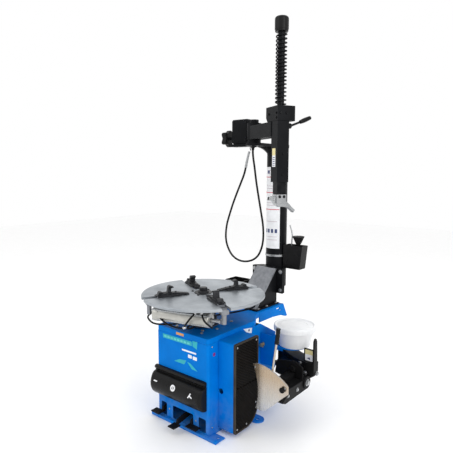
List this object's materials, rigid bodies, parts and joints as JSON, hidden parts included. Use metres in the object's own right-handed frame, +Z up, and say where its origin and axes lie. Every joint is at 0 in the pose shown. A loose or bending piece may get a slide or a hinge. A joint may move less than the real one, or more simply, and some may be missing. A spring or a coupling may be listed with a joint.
{
  "type": "tire changer machine",
  "caption": "Swing-arm tyre changing machine: pedal cabinet, clamping turntable, sprung mount head on a round column, side bead breaker with blade, paste bucket and inflation hose.",
  "frame": {"origin": "on the floor, under the turntable's axis", "axes": "+Z up; -Y towards the pedals and the operator; +X towards the bead breaker blade"},
  "size_m": [0.7788, 0.9998, 1.937],
  "materials": {
    "blue_paint": "semi-gloss powder coat",
    "black_paint": "semi-gloss black enamel",
    "black_plastic": "moulded, fine grain",
    "pad_rubber": "matt, ribbed",
    "soft_rubber": "matt hose rubber",
    "bright_steel": "fine ground",
    "table_steel": "turned plate, light wear",
    "dark_steel": "blackened steel",
    "zinc": "mottled grey plating",
    "grey_iron": "rough cast",
    "cast_aluminium": "drawn tube and cast ends",
    "white_plastic": "milky moulded pail"
  },
  "bodies": {
    "machine": {"base_frame": "blue_paint", "front_panel": "blue_paint", "side_panel_left": "blue_paint", "side_panel_right": "blue_paint", "rear_cover": "zinc", "deck": "blue_paint", "rear_beam": "blue_paint", "side_pad_box": "blue_paint", "bead_pad": "pad_rubber", "pedal_shaft": "bright_steel", "valve_block": "cast_aluminium", "pedal_guard": "black_plastic", "gearbox": "grey_iron", "motor": "dark_steel", "drive_belt": "soft_rubber", "column_foot": "zinc", "column": "black_paint", "swing_bracket": "black_paint", "hinge_pin": "dark_steel", "stop_box": "black_paint", "bead_bracket": "black_paint", "bead_cylinder": "cast_aluminium", "bucket_shelf": "blue_paint", "tool_tray": "black_plastic", "parts_tray": "black_plastic", "air_unit": "dark_steel", "cable_gland": "black_plastic", "inflation_hose": "soft_rubber", "air_chuck": "bright_steel"},
    "turntable": {"turntable_disc": "table_steel", "turntable_shaft": "grey_iron", "air_lines_a": "soft_rubber", "air_lines_b": "soft_rubber"},
    "jaw_a": {"jaw_1": "dark_steel", "clamp_barrel_a": "cast_aluminium"},
    "jaw_b": {"jaw_2": "dark_steel", "clamp_rod_a": "bright_steel"},
    "jaw_c": {"jaw_3": "dark_steel", "clamp_barrel_b": "cast_aluminium"},
    "jaw_d": {"jaw_4": "dark_steel", "clamp_rod_b": "bright_steel"},
    "worm_pulley": {"gearbox_pulley": "grey_iron"},
    "motor_shaft": {"motor_pulley": "grey_iron"},
    "turn_pedal": {"pedal_turn": "black_paint"},
    "clamp_pedal": {"pedal_clamp": "black_paint"},
    "bead_pedal": {"pedal_bead": "black_paint"},
    "arm": {"swing_arm": "black_paint", "head_block": "black_paint", "return_spring": "dark_steel"},
    "tool": {"tool_shaft": "black_paint", "mount_head": "bright_steel"},
    "lever": {"lock_lever": "black_plastic"},
    "knob": {"stop_knob": "black_plastic"},
    "breaker": {"bead_arm": "black_paint"},
    "blade": {"bead_blade": "bright_steel", "bead_handle": "bright_steel"},
    "ram_rod": {"bead_rod": "bright_steel"},
    "bucket": {"paste_bucket": "white_plastic"},
    "lid": {"bucket_lid": "white_plastic"},
    "brush": {"paste_brush": "black_plastic"}
  },
  "joints": [
    {"name": "table_turn", "type": "hinge", "parent": "machine", "child": "turntable", "pos_m": [0, 0, 0.628], "axis": [0, 0, 1], "continuous": true},
    {"name": "jaw_clamp", "type": "slide", "parent": "turntable", "child": "jaw_a", "axis": [-0.4695, -0.8829, 0], "range_m": [-0.03, 0.04]},
    {"name": "jaw_b_slide", "type": "slide", "parent": "turntable", "child": "jaw_b", "axis": [0.8829, -0.4695, 0], "range_m": [-0.03, 0.04]},
    {"name": "jaw_c_slide", "type": "slide", "parent": "turntable", "child": "jaw_c", "axis": [0.4695, 0.8829, 0], "range_m": [-0.03, 0.04]},
    {"name": "jaw_d_slide", "type": "slide", "parent": "turntable", "child": "jaw_d", "axis": [-0.8829, 0.4695, 0], "range_m": [-0.03, 0.04]},
    {"name": "worm_turn", "type": "hinge", "parent": "machine", "child": "worm_pulley", "pos_m": [0.088, 0.161, 0.29], "axis": [0, 1, 0], "continuous": true},
    {"name": "motor_turn", "type": "hinge", "parent": "machine", "child": "motor_shaft", "pos_m": [-0.016, 0.161, 0.132], "axis": [0, 1, 0], "continuous": true},
    {"name": "turn_pedal_tilt", "type": "hinge", "parent": "machine", "child": "turn_pedal", "pos_m": [-0.133, -0.03, 0.075], "axis": [1, 0, 0], "range_deg": [-6, 6], "stiffness_Nm_per_rad": 20},
    {"name": "clamp_pedal_tilt", "type": "hinge", "parent": "machine", "child": "clamp_pedal", "pos_m": [0.009, -0.03, 0.075], "axis": [1, 0, 0], "range_deg": [0, 6], "stiffness_Nm_per_rad": 20},
    {"name": "bead_pedal_tilt", "type": "hinge", "parent": "machine", "child": "bead_pedal", "pos_m": [0.06, -0.03, 0.075], "axis": [1, 0, 0], "range_deg": [0, 6], "stiffness_Nm_per_rad": 20},
    {"name": "arm_swing", "type": "hinge", "parent": "machine", "child": "arm", "pos_m": [0, 0.405, 1.42], "axis": [0, 0, 1], "range_deg": [-63, 35]},
    {"name": "tool_lift", "type": "slide", "parent": "arm", "child": "tool", "axis": [0, 0, 1], "range_m": [-0.2, 0], "deforming": ["return_spring"]},
    {"name": "lock_turn", "type": "hinge", "parent": "arm", "child": "lever", "pos_m": [0.27299, 0.3108, 1.434], "axis": [0.454, 0.891, 0], "range_deg": [-30, 60]},
    {"name": "knob_turn", "type": "hinge", "parent": "machine", "child": "knob", "pos_m": [-0.15, 0.432, 1.4], "axis": [1, 0, 0], "continuous": true},
    {"name": "breaker_swing", "type": "hinge", "parent": "machine", "child": "breaker", "pos_m": [0.215, 0.395, 0.255], "axis": [0, 0, 1], "range_deg": [0, 55]},
    {"name": "blade_tilt", "type": "hinge", "parent": "breaker", "child": "blade", "pos_m": [0.452, 0.023, 0.262], "axis": [0, 1, 0], "range_deg": [-8, 15]},
    {"name": "ram_stroke", "type": "slide", "parent": "machine", "child": "ram_rod", "axis": [1, 0, 0], "range_m": [0, 0.112]},
    {"name": "bucket_lift", "type": "slide", "parent": "machine", "child": "bucket", "axis": [0, 0, 1], "range_m": [0, 0.2]},
    {"name": "lid_lift", "type": "slide", "parent": "bucket", "child": "lid", "axis": [0, 0, 1], "range_m": [0, 0.05]},
    {"name": "brush_lift", "type": "slide", "parent": "machine", "child": "brush", "axis": [0, 0, 1], "range_m": [0, 0.2]}
  ],
  "couplings": [
    {"joint": "jaw_b_slide", "follows": "jaw_clamp", "ratio": 1},
    {"joint": "jaw_c_slide", "follows": "jaw_clamp", "ratio": 1},
    {"joint": "jaw_d_slide", "follows": "jaw_clamp", "ratio": 1},
    {"joint": "worm_turn", "follows": "table_turn", "ratio": 10},
    {"joint": "motor_turn", "follows": "table_turn", "ratio": 17.33},
    {"joint": "ram_stroke", "follows": "breaker_swing", "m_per_rad": 0.115}
  ]
}
